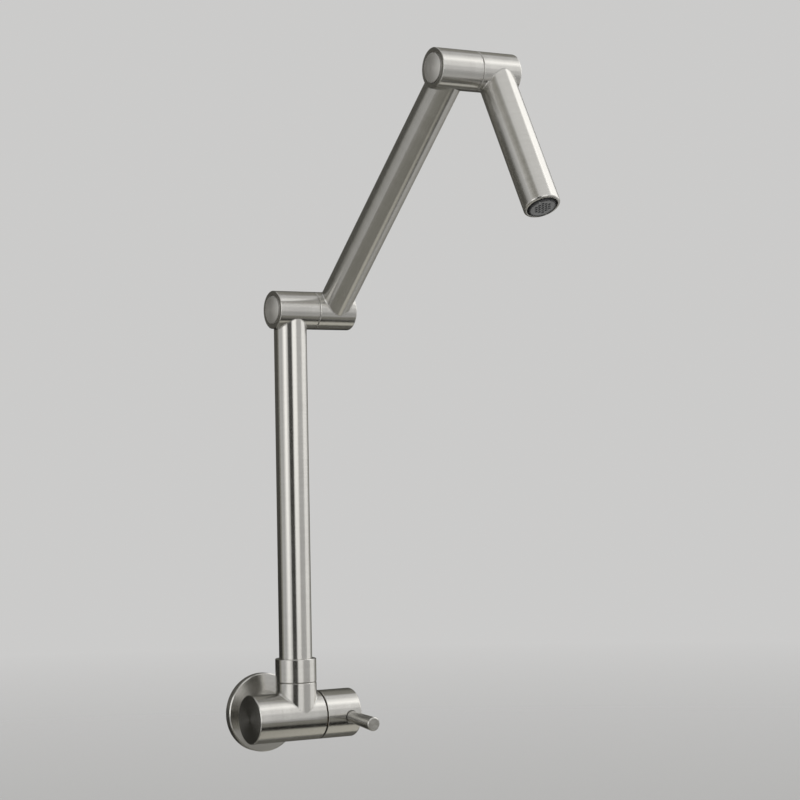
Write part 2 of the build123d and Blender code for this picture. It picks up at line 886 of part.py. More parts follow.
def aerator_washer():
    return placed(SPOUT, ring(spout_bore, seat_ring_bore, washer_start, aerator_back))


def aerator_seat_ring():
    return placed(SPOUT, ring(spout_bore, seat_ring_bore, seat_ring_start, washer_start))


# ---------------------------------------------------------------- the whole tap
def all_parts():
    parts = {
        "wall_flange": wall_flange(),
        "wall_gasket": wall_gasket(),
        "flange_o_ring": flange_o_ring(),
        "inlet_nipple": inlet_nipple(),
        "inlet_washer": inlet_washer(),
        "valve_body": valve_body(),
        "cartridge_seat_seal": cartridge_seat_seal(),
        "cartridge_fixed_disc": cartridge_fixed_disc(),
        "cartridge_moving_disc": cartridge_moving_disc(),
        "cartridge_shell": cartridge_shell(),
        "cartridge_o_ring": cartridge_o_ring(),
        "cartridge_stem": cartridge_stem(),
        "stem_o_rings": stem_o_rings(),
        "stem_circlip": stem_circlip(),
        "handle_hub": handle_hub(),
        "lever_rod": lever_rod(),
        "handle_grub_screw": handle_grub_screw(),
        "swivel_collar": swivel_collar(),
        "lower_slip_ring": lower_slip_ring(),
        "upper_slip_ring": upper_slip_ring(),
        "swivel_spigot": swivel_spigot(),
        "spigot_o_rings": spigot_o_rings(),
        "riser_tube": riser_tube(),
        "upper_tube": upper_tube(),
        "spout_tube": spout_tube(),
        "aerator_seat_ring": aerator_seat_ring(),
        "aerator_washer": aerator_washer(),
        "aerator_diffuser": aerator_diffuser(),
        "aerator_mesh": aerator_mesh(),
        "aerator_shell": aerator_shell(),
    }
    parts.update(knuckle("elbow", elbow, DOWN, along_arm))
    parts.update(knuckle("wrist", wrist, along_arm * -1, along_spout))
    return parts


os.makedirs("parts", exist_ok=True)
for node, shape in all_parts().items():
    export_step(shape, f"parts/{node}.step")
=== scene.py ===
"""Wall mounted pot filler: finishes, fine pieces, light and camera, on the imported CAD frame.

Row frame, in metres: the origin is on the wall on the inlet's axis, +X to the right facing the
wall, +Y into the wall, +Z up.
"""

from math import cos, pi, radians, sin, sqrt, tan
from typing import NamedTuple

import bpy
from mathutils import Matrix, Vector


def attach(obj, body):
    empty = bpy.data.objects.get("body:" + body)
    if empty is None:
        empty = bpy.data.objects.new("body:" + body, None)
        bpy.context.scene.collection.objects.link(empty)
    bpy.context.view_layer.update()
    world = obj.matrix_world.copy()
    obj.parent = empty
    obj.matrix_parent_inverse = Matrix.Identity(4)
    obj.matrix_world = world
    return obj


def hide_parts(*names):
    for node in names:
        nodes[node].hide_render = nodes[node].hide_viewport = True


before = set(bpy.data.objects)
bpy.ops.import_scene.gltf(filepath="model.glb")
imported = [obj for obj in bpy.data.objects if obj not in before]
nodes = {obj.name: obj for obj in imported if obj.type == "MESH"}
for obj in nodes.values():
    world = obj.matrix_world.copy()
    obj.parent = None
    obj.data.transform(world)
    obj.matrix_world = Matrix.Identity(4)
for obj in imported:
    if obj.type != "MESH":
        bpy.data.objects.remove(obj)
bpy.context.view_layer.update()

# ---------------------------------------------------------------- places taken from the CAD
MM = 0.001
INCH = 25.4 * MM
RISER_X = 4.85 * MM
RISER_FORWARD = 2.4 * MM
WALL_TO_VALVE = 44.0 * MM
BODY_RADIUS = 17.7 * MM
NECK_RADIUS = 14.9 * MM
BOSS_RADIUS = 13.0 * MM
TUBE_RADIUS = 12.0 * MM
SPOUT_RADIUS = 12.7 * MM
KNUCKLE_RADIUS = 13.9 * MM
RISER_HEIGHT = 295.9 * MM
ARM_LENGTH = 227.5 * MM
KNUCKLE_OFFSET = 34.6 * MM
LEVER_PLACE = 37.45 * MM
# Degrees from straight up towards the room
ARM_LEAN = 48.0
SPOUT_LEAN = 150.7
LEVER_LEAN = 95.0


def leaning(angle):
    """The direction that leans this many degrees from straight up towards the room."""
    return Vector((0, -sin(radians(angle)), cos(radians(angle))))


X_AXIS = Vector((1, 0, 0))
UP = leaning(0)
INTO_ROOM = leaning(90)
DOWN = leaning(180)
INTO_WALL = leaning(-90)

VALVE_CENTRE = Vector((RISER_X, -WALL_TO_VALVE, 0))
RISER_FOOT = VALVE_CENTRE - Vector((0, RISER_FORWARD, 0))
ELBOW = RISER_FOOT + UP * RISER_HEIGHT
ARM_START = ELBOW + X_AXIS * KNUCKLE_OFFSET
WRIST = ARM_START + leaning(ARM_LEAN) * ARM_LENGTH
SPOUT_START = WRIST + X_AXIS * KNUCKLE_OFFSET

# The axis that each group of parts was turned about: a point on it, and its direction
WALL_AXIS = (Vector((0, 0, 0)), INTO_ROOM)
VALVE_AXIS = (VALVE_CENTRE, X_AXIS)
RISER_AXIS = (RISER_FOOT, UP)
LEVER_AXIS = (VALVE_CENTRE + X_AXIS * LEVER_PLACE, leaning(LEVER_LEAN))
ELBOW_AXIS = (ELBOW, X_AXIS)
ARM_AXIS = (ARM_START, leaning(ARM_LEAN))
WRIST_AXIS = (WRIST, X_AXIS)
SPOUT_AXIS = (SPOUT_START, leaning(SPOUT_LEAN))


# ---------------------------------------------------------------- finishes
class Metal(NamedTuple):
    """A turned metal: its tones, the lightest of them painted on its edges as a highlight, how
    rough it is and how far that drifts, how much the brushing draws out reflections, and how
    many brushing lines there are to a metre."""

    light: tuple
    dark: tuple
    painted_edge_highlight: tuple
    roughness: float
    spread: float
    anisotropy: float
    grain: float


class Moulding(NamedTuple):
    """Rubber, plastic or ceramic: its tones, how rough it is, how many specks there are to a
    metre, how deep they are, and its sheen."""

    light: tuple
    dark: tuple
    roughness: float
    grain: float
    depth: float
    sheen: float = 0.0


# Each metal's lighter edge tone is a highlight painted on its edges, not a real wear colour
NICKEL = Metal(
    light=(0.632, 0.625, 0.600, 1),
    dark=(0.572, 0.563, 0.538, 1),
    painted_edge_highlight=(0.735, 0.728, 0.706, 1),
    roughness=0.23,
    spread=0.015,
    anisotropy=0.85,
    grain=800.0,
)
SATIN_NICKEL = Metal(
    light=(0.800, 0.790, 0.765, 1),
    dark=(0.720, 0.709, 0.682, 1),
    painted_edge_highlight=NICKEL.painted_edge_highlight,
    roughness=0.50,
    spread=0.03,
    anisotropy=0.15,
    grain=1300.0,
)
BRASS = Metal(
    light=(0.760, 0.560, 0.270, 1),
    dark=(0.620, 0.430, 0.180, 1),
    painted_edge_highlight=(0.850, 0.680, 0.400, 1),
    roughness=0.24,
    spread=0.03,
    anisotropy=0.5,
    grain=2400.0,
)
SPRING_STEEL = Metal(
    light=(0.600, 0.600, 0.610, 1),
    dark=(0.480, 0.480, 0.490, 1),
    painted_edge_highlight=(0.700, 0.700, 0.710, 1),
    roughness=0.30,
    spread=0.04,
    anisotropy=0.3,
    grain=1500.0,
)
RUBBER = Moulding(
    light=(0.030, 0.030, 0.031, 1),
    dark=(0.014, 0.014, 0.015, 1),
    roughness=0.62,
    grain=3000.0,
    depth=0.02 * MM,
    sheen=0.1,
)
BEARING_PLASTIC = Moulding(
    light=(0.720, 0.710, 0.680, 1),
    dark=(0.630, 0.615, 0.580, 1),
    roughness=0.45,
    grain=2000.0,
    depth=0.01 * MM,
)
GREY_PLASTIC = Moulding(
    light=(0.240, 0.244, 0.248, 1),
    dark=(0.180, 0.184, 0.188, 1),
    roughness=0.38,
    grain=2500.0,
    depth=0.01 * MM,
)
# Pale plastic for the aerator's diffuser: its paleness partly paints light into the shade seen
# through the mesh's holes
PALE_SHADE_LIFTING_PLASTIC = GREY_PLASTIC._replace(
    light=(0.640, 0.642, 0.640, 1),
    dark=(0.560, 0.562, 0.560, 1),
)
DARK_PLASTIC = GREY_PLASTIC._replace(
    light=(0.070, 0.071, 0.073, 1),
    dark=(0.045, 0.046, 0.048, 1),
    roughness=0.42,
)
CERAMIC = Moulding(
    light=(0.840, 0.830, 0.800, 1),
    dark=(0.760, 0.745, 0.710, 1),
    roughness=0.16,
    grain=5000.0,
    depth=0.002 * MM,
)

# Brushing lines: how many to a metre along the grain, and their relief
GRAIN_LENGTH = 30.0
GRAIN_DETAIL = 3.0
GRAIN_HEIGHT = 0.02 * MM
GRAIN_STRENGTH = 0.05
# Specks of a moulding, and how far its roughness drifts either way
SPECK_DETAIL = 4.0
SPECK_STRENGTH = 0.3
SPECK_DRIFT = 0.06
# Soft clouds over a metal, and the finer ones over a moulding
CLOUD_PER_METRE = 70.0
CLOUD_DETAIL = 3.0
FINE_CLOUD_PER_METRE = 140.0
FINE_CLOUD_DETAIL = 2.0
# Rounded edges and a highlight painted on them: how well the rounded normal agrees with the flat
# one where the edge is bare and where the painted highlight is full, and how strong that
# highlight is
EDGE_RADIUS = 0.35 * MM
MOULDED_EDGE_RADIUS = EDGE_RADIUS / 2
EDGE_SAMPLES = 4
EDGE_BEND = (0.995, 0.90)
EDGE_HIGHLIGHT_STRENGTH = 0.6
# Where most values of a noise lie
NOISE_CORE = (0.3, 0.7)
NOISE_REACH = (0.25, 0.75)
MOTTLE_CORE = (0.35, 0.65)
# The brushing's direction across its tangent, in turns
QUARTER_TURN = 0.25
# How far off the valve's barrel a part has to be to count as standing out of it
SKIN = 0.02 * MM


class Finish:
    """A material whose nodes are laid down one after the other."""

    def __init__(self, name):
        self.material = bpy.data.materials.new(name)
        self.material.use_nodes = True
        self.tree = self.material.node_tree
        self.tree.nodes.clear()
        self.surface = self.add("ShaderNodeBsdfPrincipled")
        self.add("ShaderNodeOutputMaterial", {"Surface": self.surface.outputs["BSDF"]})
        self.place = self.add("ShaderNodeTexCoord").outputs["Object"]

    def feed(self, node, inputs):
        """Gives a node's inputs their values, or the sockets that they follow."""
        for socket, value in inputs.items():
            if isinstance(value, bpy.types.NodeSocket):
                self.tree.links.new(value, node.inputs[socket])
            else:
                node.inputs[socket].default_value = value

    def add(self, kind, inputs=None, **settings):
        node = self.tree.nodes.new(kind)
        for name, value in settings.items():
            setattr(node, name, value)
        self.feed(node, inputs or {})
        return node

    def vector(self, operation, first, second):
        node = self.add("ShaderNodeVectorMath", {0: first, 1: second}, operation=operation)
        return node.outputs["Value" if operation == "DOT_PRODUCT" else "Vector"]

    def number(self, operation, *values):
        inputs = dict(enumerate(values))
        return self.add("ShaderNodeMath", inputs, operation=operation).outputs["Value"]

    def stretched(self, vector, by):
        inputs = {0: vector, "Scale": by}
        return self.add("ShaderNodeVectorMath", inputs, operation="SCALE").outputs["Vector"]

    def length(self, vector):
        return self.add("ShaderNodeVectorMath", {0: vector}, operation="LENGTH").outputs["Value"]

    def ramp(self, value, source, target):
        """The value carried from the source range over to the target range, and held in it."""
        inputs = {"Value": value, 1: source[0], 2: source[1], 3: target[0], 4: target[1]}
        return self.add("ShaderNodeMapRange", inputs).outputs["Result"]

    def noise(self, vector, scale, detail):
        inputs = {"Vector": vector, "Scale": scale, "Detail": detail}
        return self.add("ShaderNodeTexNoise", inputs).outputs["Fac"]

    def mix(self, kind, amount, first, second):
        """Mixes two sockets or values of one kind: FLOAT, VECTOR or RGBA."""
        place = {"FLOAT": 2, "VECTOR": 4, "RGBA": 6}[kind]
        inputs = {0: amount, place: first, place + 1: second}
        node = self.add("ShaderNodeMix", inputs, data_type=kind)
        return node.outputs[place // 2 - 1]

    def rounded(self, radius):
        """The surface's normal, rounded over along its edges."""
        bevel = self.add("ShaderNodeBevel", {"Radius": radius}, samples=EDGE_SAMPLES)
        return bevel.outputs["Normal"]

    def bump(self, height, strength, distance, normal):
        inputs = {"Height": height, "Strength": strength, "Distance": distance, "Normal": normal}
        return self.add("ShaderNodeBump", inputs).outputs["Normal"]


def from_axis(finish, axis):
    """Where a point is as the lathe sees it: how far along the axis, and its offset from it."""
    origin, direction = axis
    offset = finish.vector("SUBTRACT", finish.place, tuple(origin))
    along = finish.vector("DOT_PRODUCT", offset, tuple(direction))
    radial = finish.vector("SUBTRACT", offset, finish.stretched(tuple(direction), along))
    return along, radial


def turned_grain(finish, axis, grain):
    """Brushing lines that run round this axis, and in rings on the faces across it, and the
    direction in which they run."""
    along, radial = from_axis(finish, axis)
    direction = tuple(axis[1])
    profile = finish.number("ADD", along, finish.length(radial))
    across = finish.stretched(direction, finish.number("MULTIPLY", profile, grain))
    around = finish.stretched(radial, GRAIN_LENGTH)
    lines = finish.noise(finish.vector("ADD", across, around), 1.0, GRAIN_DETAIL)
    return lines, finish.vector("CROSS_PRODUCT", direction, radial)


def beyond_barrel(finish, side):
    """One on what stands out of the valve's barrel on this side, and zero elsewhere."""
    _, radial = from_axis(finish, VALVE_AXIS)
    outside = finish.number("GREATER_THAN", finish.length(radial), BODY_RADIUS + SKIN)
    toward = finish.vector("DOT_PRODUCT", radial, tuple(side))
    return finish.number("MULTIPLY", outside, finish.number("GREATER_THAN", toward, SKIN))


def brushing(finish, grain, axis, arms):
    """The brushing lines round this axis, or round an arm's where that stands out of the
    barrel, and the tangent that they follow."""
    lines, tangent = turned_grain(finish, axis, grain)
    for arm_axis, side in arms:
        mask = beyond_barrel(finish, side)
        arm_lines, arm_tangent = turned_grain(finish, arm_axis, grain)
        lines = finish.mix("FLOAT", mask, lines, arm_lines)
        tangent = finish.mix("VECTOR", mask, tangent, arm_tangent)
    turned = finish.add(
        "ShaderNodeVectorTransform",
        {"Vector": tangent},
        vector_type="VECTOR",
        convert_from="OBJECT",
        convert_to="WORLD",
    )
    return lines, turned.outputs["Vector"]


def metal(name, kind, axis, arms=()):
    """Metal with lathe brushing round this axis, soft clouds, and a highlight painted on its
    edges. Each arm is an axis that the brushing runs round instead, and the side of the barrel
    where it does."""
    finish = Finish(name)
    lines, tangent = brushing(finish, kind.grain, axis, arms)
    clouds = finish.noise(finish.place, CLOUD_PER_METRE, CLOUD_DETAIL)

    rounded = finish.rounded(EDGE_RADIUS)
    flat = finish.add("ShaderNodeNewGeometry").outputs["Normal"]
    bend = finish.vector("DOT_PRODUCT", rounded, flat)
    # Painted highlight: a lighter colour laid along the edges, where the rounded normal bends
    # away from the flat one
    painted_edge_highlight = finish.ramp(bend, EDGE_BEND, (0.0, EDGE_HIGHLIGHT_STRENGTH))

    streaks = finish.ramp(lines, NOISE_CORE, (0.0, 0.5))
    spots = finish.ramp(clouds, NOISE_CORE, (0.0, 0.5))
    colour = finish.mix("RGBA", finish.number("ADD", streaks, spots), kind.dark, kind.light)
    # The edges take the painted highlight colour
    colour = finish.mix("RGBA", painted_edge_highlight, colour, kind.painted_edge_highlight)

    least, most = kind.roughness - kind.spread, kind.roughness + kind.spread
    streaks = finish.ramp(lines, NOISE_REACH, (least, most))
    spots = finish.ramp(clouds, NOISE_CORE, (-kind.spread, kind.spread))
    finish.feed(
        finish.surface,
        {
            "Metallic": 1.0,
            "Anisotropic": kind.anisotropy,
            "Anisotropic Rotation": QUARTER_TURN,
            "Base Color": colour,
            "Roughness": finish.number("ADD", streaks, spots),
            "Normal": finish.bump(lines, GRAIN_STRENGTH, GRAIN_HEIGHT, rounded),
            "Tangent": tangent,
        },
    )
    return finish.material


def moulded(name, kind):
    """A moulding with a fine grain, whose colour and roughness drift a little."""
    finish = Finish(name)
    specks = finish.noise(finish.place, kind.grain, SPECK_DETAIL)
    clouds = finish.noise(finish.place, FINE_CLOUD_PER_METRE, FINE_CLOUD_DETAIL)
    mottle = finish.number("MULTIPLY", finish.number("ADD", specks, clouds), 0.5)
    mottle = finish.ramp(mottle, MOTTLE_CORE, (0.0, 1.0))
    least, most = kind.roughness - SPECK_DRIFT, kind.roughness + SPECK_DRIFT
    rounded = finish.rounded(MOULDED_EDGE_RADIUS)
    finish.feed(
        finish.surface,
        {
            "Sheen Weight": kind.sheen,
            "Base Color": finish.mix("RGBA", mottle, kind.dark, kind.light),
            "Roughness": finish.ramp(specks, NOISE_CORE, (least, most)),
            "Normal": finish.bump(specks, SPECK_STRENGTH, kind.depth, rounded),
        },
    )
    return finish.material


def dress(material, parts):
    """Gives these CAD nodes this material."""
    for part in parts:
        data = nodes[part].data
        data.materials.clear()
        data.materials.append(material)


METAL_PARTS = (
    ("nickel_wall_axis", NICKEL, WALL_AXIS, ("wall_flange",)),
    ("nickel_valve_axis", NICKEL, VALVE_AXIS, ("handle_hub",)),
    ("nickel_riser_axis", NICKEL, RISER_AXIS, ("swivel_collar", "riser_tube")),
    ("nickel_lever_axis", NICKEL, LEVER_AXIS, ("lever_rod",)),
    ("nickel_elbow_axis", NICKEL, ELBOW_AXIS, ("elbow_fixed_knuckle", "elbow_turning_knuckle")),
    ("nickel_arm_axis", NICKEL, ARM_AXIS, ("upper_tube",)),
    ("nickel_wrist_axis", NICKEL, WRIST_AXIS, ("wrist_fixed_knuckle", "wrist_turning_knuckle")),
    ("nickel_spout_axis", NICKEL, SPOUT_AXIS, ("spout_tube",)),
    ("satin_elbow_axis", SATIN_NICKEL, ELBOW_AXIS, ("elbow_end_cap",)),
    ("satin_wrist_axis", SATIN_NICKEL, WRIST_AXIS, ("wrist_end_cap",)),
    ("brass_wall_axis", BRASS, WALL_AXIS, ("inlet_nipple",)),
    ("brass_riser_axis", BRASS, RISER_AXIS, ("swivel_spigot",)),
    ("brass_valve_axis", BRASS, VALVE_AXIS, ("cartridge_stem", "cartridge_shell")),
    ("brass_elbow_axis", BRASS, ELBOW_AXIS, ("elbow_spindle", "elbow_nut")),
    ("brass_wrist_axis", BRASS, WRIST_AXIS, ("wrist_spindle", "wrist_nut")),
    ("brass_spout_axis", BRASS, SPOUT_AXIS, ("aerator_seat_ring",)),
    ("steel_valve_axis", SPRING_STEEL, VALVE_AXIS, ("stem_circlip", "handle_grub_screw")),
    ("steel_elbow_axis", SPRING_STEEL, ELBOW_AXIS, ("elbow_disc_spring",)),
    ("steel_wrist_axis", SPRING_STEEL, WRIST_AXIS, ("wrist_disc_spring",)),
)
BODY_ARMS = ((RISER_AXIS, UP), (WALL_AXIS, INTO_WALL))
SEALS = (
    "wall_gasket",
    "flange_o_ring",
    "inlet_washer",
    "cartridge_seat_seal",
    "cartridge_o_ring",
    "stem_o_rings",
    "spigot_o_rings",
    "elbow_o_rings",
    "wrist_o_rings",
    "aerator_washer",
)
BEARINGS = (
    "lower_slip_ring",
    "upper_slip_ring",
    "elbow_bearing_bush",
    "elbow_friction_washer",
    "wrist_bearing_bush",
    "wrist_friction_washer",
)
MOULDED_PARTS = (
    ("black_rubber", RUBBER, SEALS),
    ("bearing_plastic", BEARING_PLASTIC, BEARINGS),
    ("grey_plastic", GREY_PLASTIC, ("aerator_mesh",)),
    # The diffuser's pale colour is partly painted light that lifts the shade behind the mesh's
    # holes
    ("pale_shade_lifting_plastic", PALE_SHADE_LIFTING_PLASTIC, ("aerator_diffuser",)),
    ("dark_plastic", DARK_PLASTIC, ("aerator_shell",)),
    ("ceramic", CERAMIC, ("cartridge_fixed_disc", "cartridge_moving_disc")),
)

finishes = {}
for name, kind, axis, parts in METAL_PARTS:
    finishes[name] = metal(name, kind, axis)
    dress(finishes[name], parts)
dress(metal("nickel_body", NICKEL, VALVE_AXIS, BODY_ARMS), ("valve_body",))
for name, kind, parts in MOULDED_PARTS:
    dress(moulded(name, kind), parts)

# ---------------------------------------------------------------- fillets where tubes meet
TURN_STEPS = 160
ARC_STEPS = 7
FILLET = 0.7 * MM
NECK_FILLET = 1.1 * MM
FILLET_SINK = 0.1  # how deep, in its own radii, a fillet's hidden edge lies in the metal

BOSS_AXIS = (Vector((0, -WALL_TO_VALVE, 0)), INTO_WALL)
RISER_TOP_AXIS = (ELBOW, DOWN)
ARM_TOP_AXIS = (WRIST, leaning(ARM_LEAN + 180))
BODY_BARREL = (VALVE_AXIS, BODY_RADIUS)
ELBOW_BARREL = (ELBOW_AXIS, KNUCKLE_RADIUS)
WRIST_BARREL = (WRIST_AXIS, KNUCKLE_RADIUS)

# Each fillet's name, the tube's axis from the barrel outwards, the tube's radius, the barrel,
# the fillet's own radius, its body and its finish
FILLETS = (
    ("neck_fillet", RISER_AXIS, NECK_RADIUS, BODY_BARREL, NECK_FILLET, "valve",
     "nickel_riser_axis"),
    ("boss_fillet", BOSS_AXIS, BOSS_RADIUS, BODY_BARREL, FILLET, "valve", "nickel_wall_axis"),
    ("riser_elbow_fillet", RISER_TOP_AXIS, TUBE_RADIUS, ELBOW_BARREL, FILLET, "riser",
     "nickel_riser_axis"),
    ("arm_elbow_fillet", ARM_AXIS, TUBE_RADIUS, ELBOW_BARREL, FILLET, "upper_arm",
     "nickel_arm_axis"),
    ("arm_wrist_fillet", ARM_TOP_AXIS, TUBE_RADIUS, WRIST_BARREL, FILLET, "upper_arm",
     "nickel_arm_axis"),
    ("spout_wrist_fillet", SPOUT_AXIS, SPOUT_RADIUS, WRIST_BARREL, FILLET, "spout",
     "nickel_spout_axis"),
)


def closed_strip(name, loops):
    """A closed band through these loops of points, the last joined to the first."""
    count, size = len(loops), len(loops[0])
    verts = [tuple(point) for loop in loops for point in loop]
    faces = []
    for i in range(count):
        for j in range(size):
            k, m = (i + 1) % count, (j + 1) % size
            faces.append((i * size + j, i * size + m, k * size + m, k * size + j))
    mesh = bpy.data.meshes.new(name)
    mesh.from_pydata(verts, [], faces)
    mesh.validate()
    for polygon in mesh.polygons:
        polygon.use_smooth = True
    return bpy.data.objects.new(name, mesh)


def fillet(name, tube, tube_radius, barrel, radius):
    """The rolling-ball fillet between a tube and the barrel that it stands on."""
    origin, up = tube
    (barrel_origin, along), barrel_radius = barrel
    across = up.cross(along)
    offset = (origin - barrel_origin).dot(across)
    loops = []
    for i in range(TURN_STEPS):
        turn = 2 * pi * i / TURN_STEPS
        outward = along * cos(turn) + across * sin(turn)

        reach = tube_radius + radius
        aside = reach * sin(turn) + offset
        height = sqrt((barrel_radius + radius) ** 2 - aside**2)
        ball = origin + outward * reach + up * height
        normal = (across * aside + up * height) / (barrel_radius + radius)

        aside = tube_radius * sin(turn) + offset
        height = sqrt(barrel_radius**2 - aside**2)
        corner = origin + outward * tube_radius + up * height

        loop = []
        for k in range(ARC_STEPS + 1):
            toward = outward.slerp(normal, k / ARC_STEPS)
            loop.append(ball - toward * radius)
        loop.append(corner - (outward + normal) * radius * FILLET_SINK)
        loops.append(loop)
    return closed_strip(name, loops)


for name, tube, tube_radius, barrel, radius, body, finish_name in FILLETS:
    piece = fillet(name, tube, tube_radius, barrel, radius)
    piece.data.materials.append(finishes[finish_name])
    bpy.context.scene.collection.objects.link(piece)
    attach(piece, body)

# ---------------------------------------------------------------- the inlet's screw thread
# Local heights run out of the wall into the room, as in the CAD.
NIPPLE_RADIUS = 20.955 * MM / 2
THREADS_PER_INCH = 14
THREAD_PITCH = INCH / THREADS_PER_INCH
THREAD_DEPTH = 1.162 * MM
NIPPLE_TIP = -16.0 * MM
NIPPLE_END = 14.0 * MM
NIPPLE_LEAD = 1.0 * MM
RELIEF_START = 0.0
RELIEF_END = 1.6 * MM
RELIEF_DEPTH = 1.1 * MM
KEY_ACROSS = 12.0 * MM
KEY_END = -6.0 * MM
BORE_RADIUS = KEY_ACROSS / 2
THREAD_STEPS = 16  # rows to one turn of the thread
SHARP_ANGLE = 50.0  # degrees at which an edge is kept sharp


def thread_radius(height, turn):
    """The thread's rounded crests and roots, cut off by the ends' leads and by the relief."""
    if RELIEF_START <= height <= RELIEF_END:
        return NIPPLE_RADIUS - RELIEF_DEPTH
    crest = 0.5 + 0.5 * cos(2 * pi * height / THREAD_PITCH - turn)
    radius = NIPPLE_RADIUS - THREAD_DEPTH * (1 - crest)
    to_end = min(height - NIPPLE_TIP, NIPPLE_END - height)
    return min(radius, NIPPLE_RADIUS - NIPPLE_LEAD + to_end)


def key_radius(turn):
    """How far the hexagon's flats are from the axis in this direction."""
    within = (turn + pi / 6) % (pi / 3) - pi / 6
    return BORE_RADIUS / cos(within)


def threaded_nipple():
    """The nipple with its thread and its hexagon. Its profiles stand half a step off the lines
    where the hexagon's flats touch the bore, and run backwards so that the faces look out."""
    rows = round((NIPPLE_END - NIPPLE_TIP) / THREAD_PITCH * THREAD_STEPS)
    heights = [NIPPLE_TIP + (NIPPLE_END - NIPPLE_TIP) * i / rows for i in range(rows + 1)]
    across = INTO_ROOM.cross(X_AXIS)
    loops = []
    for i in range(TURN_STEPS):
        turn = 2 * pi * (i + 0.5) / TURN_STEPS
        outward = X_AXIS * cos(turn) + across * sin(turn)
        profile = [(thread_radius(height, turn), height) for height in heights]
        profile.append((BORE_RADIUS, NIPPLE_END))
        profile.append((BORE_RADIUS, KEY_END))
        profile.append((key_radius(turn), KEY_END))
        profile.append((key_radius(turn), NIPPLE_TIP))
        profile.reverse()
        loops.append([outward * radius + INTO_ROOM * height for radius, height in profile])
    return closed_strip("threaded_nipple", loops)


nipple = threaded_nipple()
nipple.data.materials.append(finishes["brass_wall_axis"])
nipple.data.set_sharp_from_angle(angle=radians(SHARP_ANGLE))
bpy.context.scene.collection.objects.link(nipple)
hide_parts("inlet_nipple")
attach(nipple, "valve")

# ---------------------------------------------------------------- camera
# Angles in degrees; the lens and the sensor in millimetres
CAMERA_PLACE = Vector((-0.7763, -1.47615, 0.17968))
CAMERA_YAW = 31.44
CAMERA_PITCH = 1.73
CAMERA_ROLL = -1.03
CAMERA_LENS = 100.34
CAMERA_NEAR = 0.05
SENSOR = 36.0

heading = Vector((sin(radians(CAMERA_YAW)), cos(radians(CAMERA_YAW)), 0))
beside = Vector((cos(radians(CAMERA_YAW)), -sin(radians(CAMERA_YAW)), 0))
forward = heading * cos(radians(CAMERA_PITCH)) + UP * sin(radians(CAMERA_PITCH))
above = beside.cross(forward)
camera_x = beside * cos(radians(CAMERA_ROLL)) + above * sin(radians(CAMERA_ROLL))
camera_y = above * cos(radians(CAMERA_ROLL)) - beside * sin(radians(CAMERA_ROLL))

lens = bpy.data.cameras.new("camera")
lens.lens = CAMERA_LENS
lens.sensor_width = SENSOR
lens.clip_start = CAMERA_NEAR
camera = bpy.data.objects.new("camera", lens)
camera.matrix_world = (
    Matrix.Translation(CAMERA_PLACE)
    @ Matrix((camera_x, camera_y, -forward)).transposed().to_4x4()
)
bpy.context.scene.collection.objects.link(camera)
bpy.context.scene.camera = camera

# ---------------------------------------------------------------- studio
CENTRE = Vector((0.03, -0.10, 0.20))
WORLD_LEVEL = 0.60
WORLD_TINT = (1.0, 0.995, 0.985, 1)
LAMP_DISTANCE = 2.2
LAMP_TINT = (1.0, 0.985, 0.965)
CARD_FADE = 3.0  # degrees over which a card fades out at its edges
CARD_TINT = (1.03, 1.0, 0.89)
FLOOR_HEIGHT = -0.90
FLOOR_RADIUS = 14.0
FLOOR_FADE = (1.5, 12.0)  # distances from its middle over which the floor fades out
FLOOR_COLOUR = (0.62, 0.617, 0.61, 1)
FLOOR_ROUGHNESS = 0.9
FLOOR_SPECULAR = 0.2
BLACK = (0, 0, 0, 1)

# Softboxes: name, bearing from the camera round to its right, elevation, width and height in
# degrees, and the brightness that each one adds to the world's
SOFTBOXES = (
    ("left_softbox", -38.0, 7.0, 40.0, 44.0, 0.36),
    ("left_core", -38.0, 9.0, 20.0, 40.0, 0.64),
    ("middle_softbox", 31.0, 11.0, 34.0, 48.0, 0.45),
    ("middle_core", 30.0, 11.0, 24.0, 36.0, 0.50),
    ("key_softbox", 66.0, 31.0, 34.0, 30.0, 0.26),
    ("right_softbox", 110.0, 30.0, 52.0, 46.0, 1.00),
    ("right_shoulder", 108.0, -5.0, 36.0, 22.0, 0.50),
    ("top_softbox", 36.0, 56.0, 80.0, 32.0, 0.24),
)
# Cards that only reflections see, most of them darker than the world behind: name, bearing,
# elevation, distance, width and height in degrees, and brightness
CARDS = (
    ("front_card", -1.5, -5.0, 2.0, 31.0, 56.0, 0.03),
    ("left_card", -140.0, 22.0, 2.3, 92.0, 60.0, 0.10),
    ("left_low_card", -140.0, -32.0, 1.3, 92.0, 56.0, 0.03),
    ("left_side_card", -94.0, -18.0, 1.5, 16.0, 56.0, 0.30),
    ("back_card", 176.0, 8.0, 2.2, 44.0, 84.0, 0.11),
    ("back_low_card", 176.0, -48.0, 0.95, 50.0, 44.0, 0.12),
    ("right_side_card", 150.0, -20.0, 1.5, 20.0, 50.0, 0.30),
    ("back_top_card", 166.0, 50.0, 2.1, 32.0, 34.0, 0.26),
    ("left_top_card", -42.0, 46.0, 2.1, 38.0, 28.0, 0.30),
    ("low_shoulder_card", 68.0, -37.0, 0.82, 50.0, 21.0, 0.22),
    ("low_card", 72.0, -51.5, 0.8, 70.0, 16.0, 0.0),
    ("low_glow_card", 116.0, -62.0, 1.0, 62.0, 26.0, 0.62),
    ("under_card", -10.0, -76.0, 0.9, 90.0, 64.0, 0.23),
)


def direction_of(bearing, elevation):
    level = beside * sin(radians(bearing)) - heading * cos(radians(bearing))
    return level * cos(radians(elevation)) + UP * sin(radians(elevation))


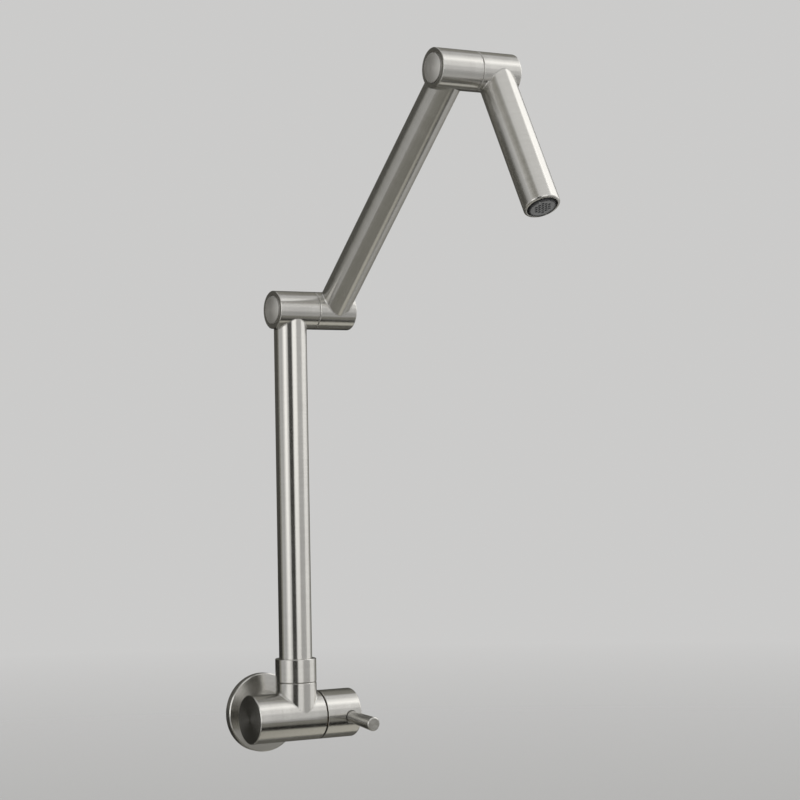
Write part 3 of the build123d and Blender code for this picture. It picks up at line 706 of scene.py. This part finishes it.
def place_facing_centre(obj, bearing, elevation, distance):
    direction = direction_of(bearing, elevation)
    turn = direction.to_track_quat("Z", "Y").to_matrix().to_4x4()
    obj.matrix_world = Matrix.Translation(CENTRE + direction * distance) @ turn
    bpy.context.scene.collection.objects.link(obj)


def span(degrees, distance):
    """The width that fills this many degrees at this distance."""
    return 2 * distance * tan(radians(degrees / 2))


def rectangle(name, width, height):
    mesh = bpy.data.meshes.new(name)
    x, y = width / 2, height / 2
    mesh.from_pydata([(-x, -y, 0), (x, -y, 0), (x, y, 0), (-x, y, 0)], [], [(0, 1, 2, 3)])
    return bpy.data.objects.new(name, mesh)


def card_finish(name, width, height, fade, level):
    """A plain card of one level that fades out at its edges."""
    finish = Finish(name)
    parts = finish.add("ShaderNodeSeparateXYZ", {0: finish.place}).outputs
    shown = []
    for axis, half in (("X", width / 2), ("Y", height / 2)):
        aside = finish.number("ABSOLUTE", parts[axis])
        shown.append(finish.ramp(aside, (half - fade, half), (1.0, 0.0)))
    finish.feed(
        finish.surface,
        {
            "Base Color": BLACK,
            "Specular IOR Level": 0.0,
            "Emission Color": (*(level * part for part in CARD_TINT), 1),
            "Emission Strength": 1.0,
            "Alpha": finish.number("MULTIPLY", *shown),
        },
    )
    return finish.material


for name, bearing, elevation, width, height, level in SOFTBOXES:
    lamp = bpy.data.lights.new(name, "AREA")
    lamp.shape = "RECTANGLE"
    lamp.size = span(width, LAMP_DISTANCE)
    lamp.size_y = span(height, LAMP_DISTANCE)
    lamp.energy = level * pi * lamp.size * lamp.size_y
    lamp.color = LAMP_TINT
    softbox = bpy.data.objects.new(name, lamp)
    place_facing_centre(softbox, bearing, elevation, LAMP_DISTANCE)
    softbox.visible_camera = False

for name, bearing, elevation, distance, width, height, level in CARDS:
    across, up = span(width, distance), span(height, distance)
    card = rectangle(name, across, up)
    fade = span(CARD_FADE, distance)
    card.data.materials.append(card_finish(name, across, up, fade, level))
    place_facing_centre(card, bearing, elevation, distance)
    card.visible_camera = False
    card.visible_diffuse = False
    card.visible_shadow = False

world = bpy.data.worlds.new("studio")
world.use_nodes = True
backdrop = world.node_tree.nodes["Background"]
backdrop.inputs["Color"].default_value = WORLD_TINT
backdrop.inputs["Strength"].default_value = WORLD_LEVEL
bpy.context.scene.world = world

floor = rectangle("floor", 2 * FLOOR_RADIUS, 2 * FLOOR_RADIUS)
floor.location = (CENTRE.x, CENTRE.y, FLOOR_HEIGHT)
bpy.context.scene.collection.objects.link(floor)
paint = Finish("floor_paint")
paint.feed(
    paint.surface,
    {
        "Base Color": FLOOR_COLOUR,
        "Roughness": FLOOR_ROUGHNESS,
        "Specular IOR Level": FLOOR_SPECULAR,
        "Alpha": paint.ramp(paint.length(paint.place), FLOOR_FADE, (1.0, 0.0)),
    },
)
floor.data.materials.append(paint.material)

bpy.context.scene.view_settings.view_transform = "Standard"
